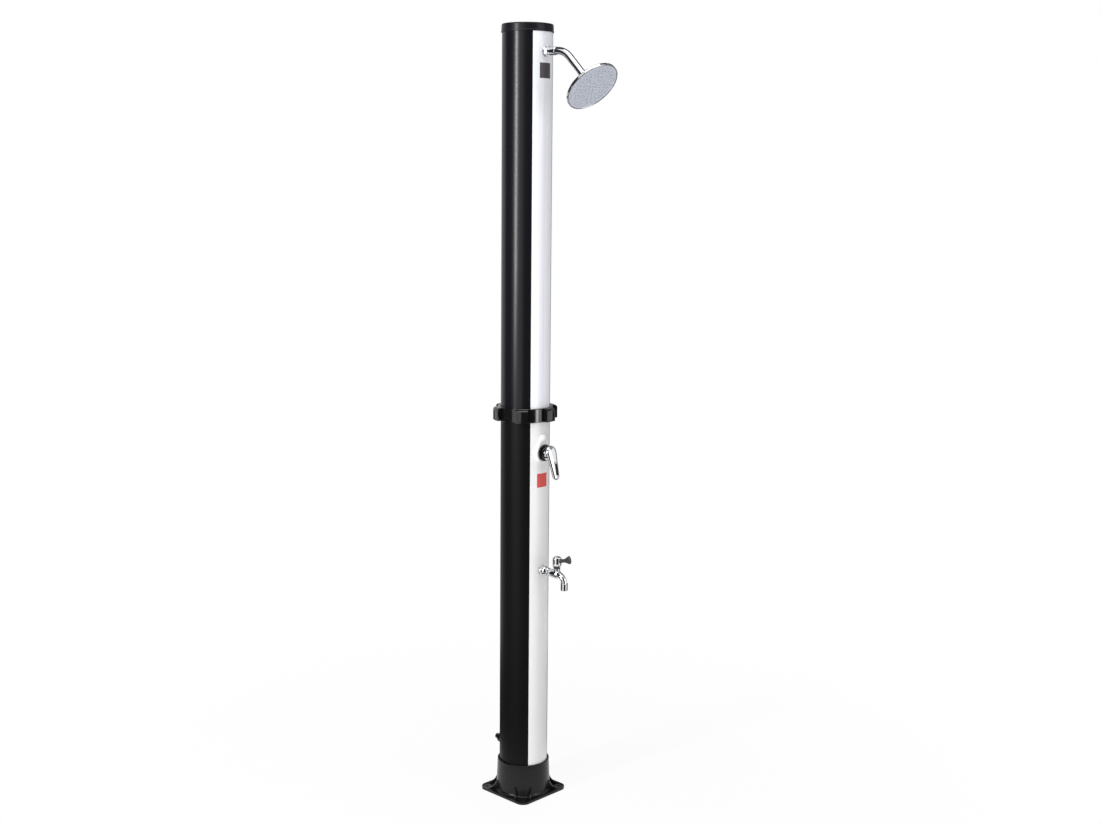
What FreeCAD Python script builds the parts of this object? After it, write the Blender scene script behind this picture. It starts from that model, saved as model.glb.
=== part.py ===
import FreeCAD, Part
import math
import os
from types import SimpleNamespace

import Sketcher
from FreeCAD import Placement, Rotation, Vector

# An outdoor solar shower post: a two-part black tube that stores and warms the water, on a square
# moulded foot, with an overhead shower, a single-lever mixer and a foot tap on its white front strip.
#
# Millimetres. The origin is on the tube's axis at the ground, +Z is up and the front faces -Y.

# ---------------------------------------------------------------------------------------------
# Driving dimensions
# ---------------------------------------------------------------------------------------------

DIMENSIONS = (
    # whole post
    ("post_height", 2170.0, "ground to the top of the cap"),
    ("tube_radius", 69.0, "outside radius of both tubes"),
    ("tube_wall", 3.0, "wall of both tubes"),
    ("strip_half_angle", 33.0, "half of the arc that the white front strip covers"),
    ("strip_depth", 1.2, "depth of the strip's seat in the tube"),
    ("strip_proud", 0.15, "how far the strip stands proud of the tube"),
    ("seat_gap", 0.05, "gap between a piece and the one it is bedded on"),
    # foot
    ("foot_half", 92.0, "half the side of the square foot"),
    ("foot_corner", 24.0, "corner radius of the foot"),
    ("foot_plate", 5.0, "thickness of the foot's plate"),
    ("foot_lip", 3.5, "width of the raised lip round the plate"),
    ("foot_lip_rise", 1.8, "height of that lip above the plate"),
    ("foot_well", 56.0, "radius of the opening under the tube"),
    ("collar_height", 97.0, "ground to the collar's rim"),
    ("collar_rim", 74.4, "outside radius of the collar at its rim"),
    ("collar_base", 77.6, "outside radius of the collar above its flare"),
    ("collar_flare", 86.5, "radius where the collar's flare meets the plate"),
    ("socket_gap", 0.4, "clearance of the tube in the collar"),
    ("socket_floor", 9.0, "height of the ledge that the tube stands on"),
    ("gusset_offset", 21.5, "distance of a gusset from the foot's diagonal"),
    ("gusset_thick", 4.0, "thickness of a gusset"),
    ("gusset_height", 33.0, "top of a gusset on the collar"),
    ("gusset_reach", 103.0, "outer end of a gusset along the diagonal"),
    ("bolt_spacing", 148.0, "spacing of the ground bolts, both ways"),
    ("bolt_hole", 4.5, "radius of a bolt hole"),
    # coupling between the tubes
    ("ring_bottom", 1095.5, "underside of the ring nut"),
    ("ring_height", 38.5, "height of the ring nut"),
    ("ring_outer", 77.5, "outside radius of the ring nut's band"),
    ("ring_bore", 74.4, "radius of the ring nut's bore"),
    ("ring_lip", 69.6, "radius of the ring nut's upper opening"),
    ("ring_lip_thick", 6.5, "thickness of its upper lip"),
    ("lobe_tip", 92.0, "radius over the grip lobes"),
    ("lobe_angle", 22.8, "arc that one grip lobe covers"),
    ("lobe_count", 6.0, "number of grip lobes"),
    ("lobe_round", 8.5, "rounding of a lobe's upper corner"),
    ("spigot_radius", 65.8, "outside radius of what is bonded into a tube"),
    ("spigot_bore", 60.0, "bore through the coupling"),
    ("lower_tube_top", 1111.0, "top of the lower tube"),
    ("seal_plane", 1122.5, "plane where the coupling's two halves meet"),
    ("upper_tube_bottom", 1126.8, "bottom of the upper tube"),
    # cap
    ("cap_bottom", 2147.6, "lower edge of the cap"),
    ("cap_radius", 70.7, "outside radius of the cap"),
    ("cap_bead", 71.4, "radius of the bead along its lower edge"),
    ("tube_top", 2162.0, "top of the upper tube"),
    # shower arm and head
    ("arm_height", 2095.0, "height of the arm's root"),
    ("arm_radius", 10.0, "outside radius of the arm"),
    ("arm_wall", 1.6, "wall of the arm"),
    ("arm_sleeve", 11.3, "outside radius of the sleeve on the arm's nut"),
    ("arm_corner", 138.0, "reach of the corner that the arm's two runs make"),
    ("arm_bend", 64.0, "centreline radius of the bend"),
    ("arm_drop", 44.0, "slope of the arm's second run and of the head's axis"),
    ("head_distance", 142.0, "corner of the arm to the face of the head"),
    ("head_radius", 76.0, "radius of the shower head"),
    ("ball_radius", 9.0, "radius of the swivel ball"),
    ("ball_depth", 35.0, "centre of the ball to the face of the head"),
    ("ball_seat", 11.2, "outside radius of the ball's seat"),
    ("ball_cavity", 11.4, "radius of the cavity round the seat"),
    # mixer
    ("mixer_height", 1009.0, "height of the mixer's axis"),
    ("saddle_big", 32.0, "radius of the saddle's round part"),
    ("saddle_small", 14.0, "radius of the saddle's upper lobe"),
    ("saddle_rise", 40.0, "height of the lobe's centre above the axis"),
    ("saddle_face", 75.0, "reach of the saddle's front face"),
    ("mixer_pivot", 86.0, "reach of the lever's pivot"),
    ("mixer_ring", 23.5, "radius of the black ring nut"),
    ("cover_radius", 18.5, "radius of the black domed cover"),
    ("lever_lean", 16.0, "lean of the closed lever"),
    ("lever_set", 27.0, "angle between the lever's face and its stem"),
    ("lever_rim", 62.0, "how far round the dome the lever's hub reaches"),
    ("lever_length", 66.0, "pivot to the centre of the lever's lower end"),
    ("lever_top", 18.5, "radius of the lever's upper end"),
    ("lever_tip", 12.0, "radius of its lower end"),
    # foot tap
    ("tap_height", 671.0, "height of the tap's inlet axis"),
    ("tap_post", 128.5, "reach of the tap's upright axis"),
    ("tap_cap_bottom", 15.5, "underside of the turning cap above the inlet axis"),
    ("tap_cap_top", 51.5, "top of the turning cap above the inlet axis"),
    ("tap_cap_radius", 12.8, "largest radius of the turning cap"),
    ("handle_rise", 15.0, "slope of the tap's handle"),
    ("handle_height", 36.5, "height of the handle's root above the inlet axis"),
    ("spout_bend", 24.0, "centreline radius of the spout's bend"),
    ("nozzle_reach", 157.0, "reach of the nozzle's axis"),
    ("nozzle_top", -20.5, "top of the nozzle from the inlet axis"),
    ("nozzle_bottom", -41.0, "mouth of the nozzle from the inlet axis"),
    ("nozzle_radius", 10.2, "outside radius of the nozzle"),
    # water inlet and drain, low on the back
    ("inlet_height", 129.0, "height of the hose inlet"),
    ("inlet_tip", 112.0, "reach of the hose nipple"),
    ("nipple_radius", 7.8, "radius of the hose nipple"),
    ("drain_height", 122.0, "height of the drain plug"),
    ("drain_turn", 140.0, "bearing of the drain plug, from the front"),
    # plumbing inside
    ("pipe_radius", 7.0, "outside radius of the inner pipes"),
    ("pipe_wall", 1.5, "wall of the inner pipes"),
    ("pipe_line", 38.0, "reach of the front pipes' axes"),
    ("hot_offset", -27.0, "offset of the hot pipe from the middle"),
)


class Size:
    """A number together with the sheet expression that gives it."""

    def __init__(self, value, text):
        self.value = float(value)
        self.text = text

    def __add__(self, other):
        return Size(self.value + number(other), f"({self.text} + {text(other)})")

    def __sub__(self, other):
        return Size(self.value - number(other), f"({self.text} - {text(other)})")

    def __mul__(self, other):
        return Size(self.value * number(other), f"({self.text} * {text(other)})")

    def __truediv__(self, other):
        return Size(self.value / number(other), f"({self.text} / {text(other)})")

    def __neg__(self):
        return Size(-self.value, f"(0 - {self.text})")

    def __radd__(self, other):
        return Size(number(other) + self.value, f"({text(other)} + {self.text})")

    def __rsub__(self, other):
        return Size(number(other) - self.value, f"({text(other)} - {self.text})")

    def __rmul__(self, other):
        return Size(number(other) * self.value, f"({text(other)} * {self.text})")


def number(size):
    return size.value if isinstance(size, Size) else float(size)


def text(size):
    return size.text if isinstance(size, Size) else f"({float(size):.6f})"


def cosine(angle):
    return Size(math.cos(math.radians(number(angle))), f"cos({text(angle)})")


def sine(angle):
    return Size(math.sin(math.radians(number(angle))), f"sin({text(angle)})")


def tangent(angle):
    return Size(math.tan(math.radians(number(angle))), f"tan({text(angle)})")


def root(size):
    return Size(math.sqrt(number(size)), f"sqrt({text(size)})")


doc = FreeCAD.newDocument("outdoor_shower_post")
sheet = doc.addObject("Spreadsheet::Sheet", "Sizes")
D = SimpleNamespace()
for row, (alias, value, meaning) in enumerate(DIMENSIONS, start=1):
    sheet.set(f"A{row}", meaning)
    sheet.set(f"B{row}", str(value))
    sheet.setAlias(f"B{row}", alias)
    setattr(D, alias, Size(value, f"Sizes.{alias}"))
doc.recompute()

NODES = []


def node(obj, name):
    """Label an object as one finished piece."""
    obj.Label = name
    NODES.append(obj)
    return obj


# ---------------------------------------------------------------------------------------------
# Places
# ---------------------------------------------------------------------------------------------

UPRIGHT = Rotation()
FORWARD = Rotation(Vector(1, 0, 0), 90)          # a piece's own Z points out of the front
BACKWARD = Rotation(Vector(0, 0, 1), 180) * FORWARD
TO_FRONT = Rotation(Vector(0, 0, 1), -90)        # a piece's own X points out of the front
RING_TURN = Rotation(Vector(0, 0, 1), 8)         # how far past the front the tight ring nut stops


def place(obj, x=0.0, y=0.0, z=0.0, turn=UPRIGHT):
    obj.Placement = Placement(Vector(number(x), number(y), number(z)), turn)
    for axis, size in (("x", x), ("y", y), ("z", z)):
        if isinstance(size, Size):
            obj.setExpression(f"Placement.Base.{axis}", size.text)
    return obj


def bearing(angle):
    """Turn a forward-pointing piece round the post by an angle counted from the front."""
    return Rotation(Vector(0, 0, 1), number(angle)) * FORWARD


def bind(obj, **sizes):
    for prop, size in sizes.items():
        setattr(obj, prop, number(size))
        if isinstance(size, Size):
            obj.setExpression(prop, size.text)
    return obj


# ---------------------------------------------------------------------------------------------
# Sketches
# ---------------------------------------------------------------------------------------------

CENTRE, START, END = 3, 1, 2
ORIGIN, X_AXIS, Y_AXIS = -1, -1, -2


def new_sketch(body, name, role="XZ_Plane", offset=None):
    planes = {feature.Role: feature for feature in body.Origin.OriginFeatures}
    sketch = body.newObject("Sketcher::SketchObject", name)
    sketch.AttachmentSupport = [(planes[role], "")]
    sketch.MapMode = "FlatFace"
    if offset is not None:
        sketch.AttachmentOffset = offset
    return sketch


def pin_point(sketch, geometry, position, x, y):
    """Hold one point of a sketch at coordinates that follow the sheet."""
    for kind, size, axis in (("DistanceX", x, Y_AXIS), ("DistanceY", y, X_AXIS)):
        if abs(number(size)) < 1e-9:
            sketch.addConstraint(Sketcher.Constraint("PointOnObject", geometry, position, axis))
            continue
        constraint = Sketcher.Constraint(kind, ORIGIN, START, geometry, position, number(size))
        index = sketch.addConstraint(constraint)
        if isinstance(size, Size):
            sketch.setExpression(f"Constraints[{index}]", size.text)


def arc_between(start, end, radius, turn):
    """The short arc from start to end; turn is +1 for a left-hand bend and -1 for a right-hand one."""
    chord = end - start
    middle = (start + end) * 0.5
    left = Vector(-chord.y, chord.x, 0).normalize()
    sag = radius - math.sqrt(max(radius ** 2 - (chord.Length / 2) ** 2, 0.0))
    return Part.Arc(start, middle - left * (turn * sag), end)


def draw_chain(sketch, corners, closed=True):
    """Draw through corners (x, y), or (x, y, radius, turn) where an arc arrives at that corner."""
    spots = [Vector(number(corner[0]), number(corner[1]), 0) for corner in corners]
    count = len(corners) if closed else len(corners) - 1
    ends = []
    for index in range(count):
        following = (index + 1) % len(corners)
        start, end, shape = spots[index], spots[following], corners[following][2:]
        if shape:
            edge = sketch.addGeometry(arc_between(start, end, number(shape[0]), shape[1]), False)
            reversed_arc = (sketch.getPoint(edge, START) - start).Length > 1e-6
            ends.append((edge, END, START) if reversed_arc else (edge, START, END))
            radius = sketch.addConstraint(Sketcher.Constraint("Radius", edge, number(shape[0])))
            if isinstance(shape[0], Size):
                sketch.setExpression(f"Constraints[{radius}]", shape[0].text)
        else:
            edge = sketch.addGeometry(Part.LineSegment(start, end), False)
            ends.append((edge, START, END))
    for index in range(count):
        following = (index + 1) % count
        if closed or following:
            sketch.addConstraint(Sketcher.Constraint(
                "Coincident", ends[index][0], ends[index][2], ends[following][0], ends[following][1]))
        pin_point(sketch, ends[index][0], ends[index][1], corners[index][0], corners[index][1])
    if not closed:
        pin_point(sketch, ends[-1][0], ends[-1][2], corners[-1][0], corners[-1][1])


def draw_circle(sketch, radius, x=0.0, y=0.0):
    circle = Part.Circle(Vector(number(x), number(y), 0), Vector(0, 0, 1), number(radius))
    edge = sketch.addGeometry(circle, False)
    index = sketch.addConstraint(Sketcher.Constraint("Radius", edge, number(radius)))
    if isinstance(radius, Size):
        sketch.setExpression(f"Constraints[{index}]", radius.text)
    pin_point(sketch, edge, CENTRE, x, y)


def draw_rounded_oblong(sketch, half_x, half_y, corner):
    x, y = half_x - corner, half_y - corner
    draw_chain(sketch, [
        (-x, -half_y, corner, 1), (x, -half_y), (half_x, -y, corner, 1), (half_x, y),
        (x, half_y, corner, 1), (-x, half_y), (-half_x, y, corner, 1), (-half_x, -y)])


def draw_rounded_square(sketch, half, corner):
    draw_rounded_oblong(sketch, half, half, corner)


def draw_egg(sketch, big, small, rise):
    """Draw a round end at the origin and a smaller one along +Y, joined by their tangents."""
    lean = math.asin((number(big) - number(small)) / number(rise))
    across, along = math.cos(lean), math.sin(lean)
    low = [Vector(side * number(big) * across, number(big) * along, 0) for side in (1, -1)]
    high = [Vector(side * number(small) * across, number(rise) + number(small) * along, 0)
            for side in (1, -1)]
    bottom = Vector(0, -number(big), 0)
    top = Vector(0, number(rise) + number(small), 0)
    big_arc = sketch.addGeometry(Part.Arc(low[1], bottom, low[0]), False)
    right = sketch.addGeometry(Part.LineSegment(low[0], high[0]), False)
    small_arc = sketch.addGeometry(Part.Arc(high[0], top, high[1]), False)
    left = sketch.addGeometry(Part.LineSegment(high[1], low[1]), False)
    loop = (big_arc, right, small_arc, left)
    for index, edge in enumerate(loop):
        sketch.addConstraint(
            Sketcher.Constraint("Tangent", edge, END, loop[(index + 1) % len(loop)], START))
    for edge, radius in ((big_arc, big), (small_arc, small)):
        index = sketch.addConstraint(Sketcher.Constraint("Radius", edge, number(radius)))
        sketch.setExpression(f"Constraints[{index}]", text(radius))
    pin_point(sketch, big_arc, CENTRE, 0, 0)
    pin_point(sketch, small_arc, CENTRE, 0, rise)


# ---------------------------------------------------------------------------------------------
# Features
# ---------------------------------------------------------------------------------------------

def new_body(name):
    body = doc.addObject("PartDesign::Body", name)
    body.Label = name
    return body


def feature(body, kind, name, profile, **sizes):
    made = body.newObject(f"PartDesign::{kind}", name)
    made.Profile = profile
    profile.Visibility = False
    return bind(made, **sizes)


def turn_profile(body, name, corners, angle=360.0, midplane=False, kind="Revolution"):
    """Revolve (or groove) a profile of (radius, height) corners about the body's own Z."""
    profile = new_sketch(body, f"{name}_profile")
    draw_chain(profile, corners)
    made = feature(body, kind, name, profile, Angle=angle)
    made.ReferenceAxis = (profile, ["V_Axis"])
    made.Midplane = midplane
    return made


def turned(name, corners):
    """A whole piece made by turning one profile."""
    body = new_body(name)
    turn_profile(body, f"{name}_turned", corners)
    return body


def pad(body, name, draw, length, role="XY_Plane", offset=None, midplane=False, reverse=False):
    profile = new_sketch(body, f"{name}_outline", role, offset)
    draw(profile)
    made = feature(body, "Pad", name, profile, Length=length)
    made.Midplane = midplane
    made.Reversed = reverse
    return made


def pocket(body, name, draw, length, role="XY_Plane", offset=None, midplane=False, reverse=False):
    """Cut an outline out of a body, and make sure that it did cut."""
    doc.recompute()
    before = body.Shape.Volume
    profile = new_sketch(body, f"{name}_outline", role, offset)
    draw(profile)
    made = feature(body, "Pocket", name, profile, Length=length)
    made.Midplane = midplane
    made.Reversed = reverse
    doc.recompute()
    if body.Shape.Volume > before - 1e-3:
        raise RuntimeError(f"{name} cuts nothing")
    return made


def polar(body, name, originals, count):
    axes = {feature.Role: feature for feature in body.Origin.OriginFeatures}
    pattern = body.newObject("PartDesign::PolarPattern", name)
    pattern.Originals = originals
    pattern.Axis = (axes["Z_Axis"], [""])
    pattern.Angle = 360
    pattern.Occurrences = int(number(count))
    body.Tip = pattern
    return pattern


def dress(body, kind, name, pick, size, **choices):
    """Fillet or chamfer the edges that pick() chooses on the body as it stands."""
    doc.recompute()
    base = body.Tip
    names = [f"Edge{index}" for index, edge in enumerate(base.Shape.Edges, start=1) if pick(edge)]
    if not names:
        raise RuntimeError(f"{name} finds no edge")
    made = body.newObject(f"PartDesign::{kind}", name)
    made.Base = (base, names)
    bind(made, **({"Radius": size} if kind == "Fillet" else {"Size": size}))
    return made


def cylinder(name, radius, length, angle=None):
    made = doc.addObject("Part::Cylinder", name)
    bind(made, Radius=radius, Height=length)
    if angle is not None:
        bind(made, Angle=angle)
    return made


def cut(name, base, *tools):
    tool = tools[0]
    if len(tools) > 1:
        tool = doc.addObject("Part::MultiFuse", f"{name}_tools")
        tool.Shapes = list(tools)
    made = doc.addObject("Part::Cut", name)
    made.Base = base
    made.Tool = tool
    return made


def bent_path(start_run, corner, end_run, bend, slope):
    """A run along +X, an arc down through slope degrees and a second run."""
    reach = bend * tangent(slope / 2)
    return [
        (start_run, 0),
        (corner - reach, 0),
        (corner + reach * cosine(slope), -(reach * sine(slope)), bend, -1),
        (corner + end_run * cosine(slope), -(end_run * sine(slope)))]


def bent_tube(body, name, path, radius, wall=None):
    """Sweep a round section along a path of reaches and heights that starts on the body's own Z."""
    route = new_sketch(body, f"{name}_path", "YZ_Plane", Placement(Vector(), Rotation(Vector(0, 0, 1), 90)))
    draw_chain(route, [(corner[0], -corner[1]) + ((corner[2], -corner[3]) if len(corner) > 2 else ())
                       for corner in path], closed=False)
    section = new_sketch(body, f"{name}_section", "XY_Plane",
                         Placement(Vector(0, 0, number(path[0][0])), Rotation()))
    draw_circle(section, radius)
    if wall is not None:
        draw_circle(section, radius - wall)
    tube = feature(body, "AdditivePipe", name, section)
    tube.Spine = route
    return tube


# ---------------------------------------------------------------------------------------------
# Foot
# ---------------------------------------------------------------------------------------------

def make_foot():
    body = new_body("base_flange")
    pad(body, "foot_plate", lambda s: draw_rounded_square(s, D.foot_half, D.foot_corner), D.foot_plate)

    def draw_lip(sketch):
        draw_rounded_square(sketch, D.foot_half, D.foot_corner)
        draw_rounded_square(sketch, D.foot_half - D.foot_lip, D.foot_corner - D.foot_lip)

    pad(body, "foot_lip", draw_lip, D.foot_plate + D.foot_lip_rise)

    socket = D.tube_radius + D.socket_gap
    flare = D.collar_flare - D.collar_base
    turn_profile(body, "collar", [
        (D.foot_well, 0), (D.foot_well, D.socket_floor), (socket, D.socket_floor),
        (socket, D.collar_height), (D.collar_rim - 1, D.collar_height),
        (D.collar_rim, D.collar_height - 1), (D.collar_base, D.foot_plate + flare + 4),
        (D.collar_base + 0.4, D.foot_plate + flare), (D.collar_flare, D.foot_plate, flare, 1),
        (D.collar_flare, 0)])
    pocket(body, "well", lambda s: draw_circle(s, D.foot_well), D.socket_floor * 2, midplane=True)

    ribs = []
    for side in (-1, 1):
        turn = Rotation(Vector(0, 1, 0), 45)
        shift = turn.multVec(Vector(0, 0, side * number(D.gusset_offset)))
        inner = socket + 1
        rise = [
            (inner, 1), (D.gusset_reach, 1), (D.gusset_reach, D.foot_plate + 1.5),
            (D.collar_base - 1, D.gusset_height, 36, -1), (inner, D.gusset_height)]
        rib = pad(body, f"gusset_{len(ribs) + 1}", lambda s, r=rise: draw_chain(s, r),
                  D.gusset_thick, "XZ_Plane", Placement(shift, turn), midplane=True)
        ribs.append(rib)
    doc.recompute()
    polar(body, "gussets", ribs, 4)
    doc.recompute()

    def draw_bolts(sketch):
        for x in (-1, 1):
            for y in (-1, 1):
                draw_circle(sketch, D.bolt_hole, D.bolt_spacing * (x / 2), D.bolt_spacing * (y / 2))

    pocket(body, "bolt_holes", draw_bolts, D.foot_plate * 4, midplane=True)
    return node(body, "base_flange")


# ---------------------------------------------------------------------------------------------
# Tubes, their white strips and what closes them
# ---------------------------------------------------------------------------------------------

def strip_seat(name, inner, outer, bottom, length, half_angle):
    """A piece of a ring, centred on the front, between two radii."""
    sector = place(cylinder(f"{name}_sector", outer, length, half_angle * 2),
                   z=bottom, turn=Rotation(Vector(0, 0, 1), -90 - number(half_angle)))
    core = place(cylinder(f"{name}_core", inner, length + 2), z=bottom - 1)
    return cut(f"{name}_ring", sector, core)


def radial_hole(name, radius, height, turn=FORWARD):
    return place(cylinder(name, radius, D.tube_radius + 20), z=height, turn=turn)


def make_tube(name, bottom, top, holes):
    length = top - bottom
    outer = place(cylinder(f"{name}_outer", D.tube_radius, length), z=bottom)
    bore = place(cylinder(f"{name}_bore", D.tube_radius - D.tube_wall, length + 2), z=bottom - 1)
    seat = strip_seat(f"{name}_seat", D.tube_radius - D.strip_depth, D.tube_radius + 2,
                      bottom - 1, length + 2, D.strip_half_angle + 0.15)
    tools = [bore, seat] + [radial_hole(f"{name}_hole_{i}", *hole) for i, hole in enumerate(holes)]
    return node(cut(name, outer, *tools), name)


def make_strip(name, bottom, top, holes):
    blank = strip_seat(name, D.tube_radius - D.strip_depth + D.seat_gap,
                       D.tube_radius + D.strip_proud, bottom, top - bottom, D.strip_half_angle)
    if not holes:
        return node(blank, name)
    tools = [radial_hole(f"{name}_hole_{i}", *hole) for i, hole in enumerate(holes)]
    return node(cut(name, blank, *tools), name)


def make_tubes():
    mixer_hole = (D.cover_radius + 0.6, D.mixer_height)
    tap_hole = (8.3, D.tap_height)
    arm_hole = (D.arm_radius + 0.3, D.arm_height)
    inlet_hole = (10.3, D.inlet_height, BACKWARD)
    drain_hole = (7.3, D.drain_height, bearing(D.drain_turn))
    lower_bottom = D.socket_floor + D.seat_gap
    make_tube("lower_tube", lower_bottom, D.lower_tube_top, [mixer_hole, tap_hole, inlet_hole, drain_hole])
    make_tube("upper_tube", D.upper_tube_bottom, D.tube_top, [arm_hole])
    make_strip("lower_front_strip", lower_bottom + 0.5, D.ring_bottom - 0.5, [mixer_hole, tap_hole])
    make_strip("upper_front_strip", D.upper_tube_bottom + 1, D.tube_top - 1, [arm_hole])


def make_bottom_plug():
    radius, web, skirt = D.spigot_radius, 3.0, 20.0
    plug = turned("bottom_plug", [
        (0, 0), (radius - 1, 0), (radius, 1), (radius, skirt), (radius - web, skirt),
        (radius - web, web), (0, web)])
    return node(place(plug, z=D.socket_floor + 3), "bottom_plug")


def make_coupling():
    barrel = D.ring_bore - 0.4
    base = D.lower_tube_top - 31
    tube_end = D.lower_tube_top - base + D.seat_gap
    face = D.seal_plane - base
    groove = 2.8
    lower = turned("lower_coupling", [
        (D.spigot_bore, 0), (D.spigot_radius - 1, 0), (D.spigot_radius, 1), (D.spigot_radius, tube_end),
        (D.tube_radius + 0.2, tube_end), (D.tube_radius + 0.2, tube_end - 13), (barrel, tube_end - 13),
        (barrel, face), (D.tube_radius + 1, face), (D.tube_radius + 1, face - groove),
        (D.spigot_radius, face - groove), (D.spigot_radius, face), (D.spigot_bore, face)])
    node(place(lower, z=base), "lower_coupling")

    seal = doc.addObject("Part::Torus", "coupling_oring")
    seal_radius = (groove - 0.1) / 2
    bind(seal, Radius1=(D.spigot_radius + D.tube_radius + 1) / 2, Radius2=seal_radius)
    node(place(seal, z=D.seal_plane - groove / 2), "coupling_oring")

    flange = D.upper_tube_bottom - D.seal_plane - D.seat_gap
    upper = turned("upper_coupling", [
        (D.spigot_bore, 0.1), (barrel - 0.2, 0.1), (barrel - 0.2, flange), (D.spigot_radius, flange),
        (D.spigot_radius, flange + 34), (D.spigot_radius - 1, flange + 35),
        (D.spigot_bore, flange + 35)])
    node(place(upper, z=D.seal_plane), "upper_coupling")


def make_ring_nut():
    body = new_body("ring_nut")
    top, under_lip = D.ring_height, D.ring_height - D.ring_lip_thick
    turn_profile(body, "ring_band", [
        (D.ring_bore, 0.8), (D.ring_bore + 0.8, 0), (D.ring_outer - 0.8, 0), (D.ring_outer, 0.8),
        (D.ring_outer, top - 1.2), (D.ring_outer - 1.2, top), (D.ring_lip + 1.2, top),
        (D.ring_lip, top - 1.2), (D.ring_lip, under_lip), (D.ring_bore, under_lip)])
    shoulder = top - 1
    lobe = turn_profile(body, "lobe", [
        (D.ring_outer - 1.5, 1), (D.lobe_tip - 0.8, 1), (D.lobe_tip, 1.8),
        (D.lobe_tip, shoulder - D.lobe_round), (D.lobe_tip - D.lobe_round, shoulder, D.lobe_round, 1),
        (D.ring_outer - 1.5, shoulder)], angle=D.lobe_angle, midplane=True)
    recess_top = shoulder - D.lobe_round - 1
    recess = turn_profile(body, "lobe_recess", [
        (D.lobe_tip - 1.6, 5), (D.lobe_tip + 2, 4), (D.lobe_tip + 2, recess_top + 1),
        (D.lobe_tip - 1.6, recess_top)], angle=D.lobe_angle * 0.55, midplane=True, kind="Groove")
    doc.recompute()
    polar(body, "lobes", [lobe, recess], D.lobe_count)
    return node(place(body, z=D.ring_bottom, turn=RING_TURN * TO_FRONT), "ring_nut")


def make_cap():
    height = D.post_height - D.cap_bottom
    skirt = D.tube_radius + 0.35
    plug = D.spigot_radius
    ceiling = D.tube_top - D.cap_bottom + 0.3
    cap = turned("top_cap", [
        (skirt, 0.6), (skirt + 0.6, 0), (D.cap_bead - 0.6, 0), (D.cap_bead, 0.6), (D.cap_bead, 3.6),
        (D.cap_radius, 4.6), (D.cap_radius - 0.3, height - 3.5), (D.cap_radius - 3.8, height, 3.5, 1),
        (0, height), (0, height - 3), (plug - 3, height - 3), (plug - 3, -14), (plug, -14),
        (plug, ceiling), (skirt, ceiling)])
    return node(place(cap, z=D.cap_bottom), "top_cap")


# ---------------------------------------------------------------------------------------------
# Pieces that stand on the tube's outside are cut to its curve
# ---------------------------------------------------------------------------------------------

def seated(name, body, clearance=0.25):
    """Cut a piece to the curve of the tube and strip that it stands on."""
    body.Label = f"{name}_blank"
    core = cylinder(f"{name}_tube", D.tube_radius + clearance, 400)
    place(core, z=body.Placement.Base.z - 200)
    return node(cut(f"{name}_seated", body, core), name)


def hexagon(sketch, across_flats):
    points = []
    for corner in range(6):
        angle = math.radians(60 * corner + 30)
        reach = across_flats / math.sqrt(3)
        points.append((reach * math.cos(angle), reach * math.sin(angle)))
    draw_chain(sketch, points)


def pipe_socket(body, name, reach, length, down, across=0.0):
    """An upright stub on a forward-pointing piece, bored to take the end of a pipe."""
    way = 1 if down else -1
    pad(body, name, lambda s: draw_circle(s, D.pipe_radius + 3, across, reach), length, "XZ_Plane",
        reverse=not down)
    mouth = Placement(Vector(0, 0, way * (length - 5)), Rotation())
    pocket(body, f"{name}_bore", lambda s: draw_circle(s, D.pipe_radius + 0.1, across, reach), 10.2,
           "XZ_Plane", mouth, midplane=True)
    pocket(body, f"{name}_way", lambda s: draw_circle(s, 4.5, across, reach), length, "XZ_Plane",
           Placement(Vector(0, 0, way * length / 2), Rotation()), midplane=True)


def make_hex_nut(name, across_flats, bore, start, length, height, turn=FORWARD, chamfer=1.0):
    """A hexagon nut whose corners are turned off at its outer end."""
    body = new_body(name)
    pad(body, f"{name}_hexagon", lambda s: hexagon(s, across_flats), start + length)
    corner = across_flats / math.sqrt(3)
    doc.recompute()
    end = start + length
    turn_profile(body, f"{name}_chamfer", [
        (corner - 2 * chamfer, end + 0.1), (corner + 1, end + 0.1), (corner + 1, end - 1.5 * chamfer)],
        kind="Groove")
    pocket(body, f"{name}_bore", lambda s: draw_circle(s, bore), end * 2, midplane=True)
    pocket(body, f"{name}_start", lambda s: draw_circle(s, corner + 2), start * 2, midplane=True)
    return node(place(body, z=height, turn=turn), name)


# ---------------------------------------------------------------------------------------------
# Shower arm and head
# ---------------------------------------------------------------------------------------------

def along_arm(distance):
    """Reach and height of a point on the arm's second run, counted from its corner."""
    return (D.arm_corner + distance * cosine(D.arm_drop), D.arm_height - distance * sine(D.arm_drop))


def head_place(obj, distance):
    reach, height = along_arm(distance)
    turn = Rotation(Vector(1, 0, 0), 90 + number(D.arm_drop))
    return place(obj, y=-reach, z=height, turn=turn)


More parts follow.
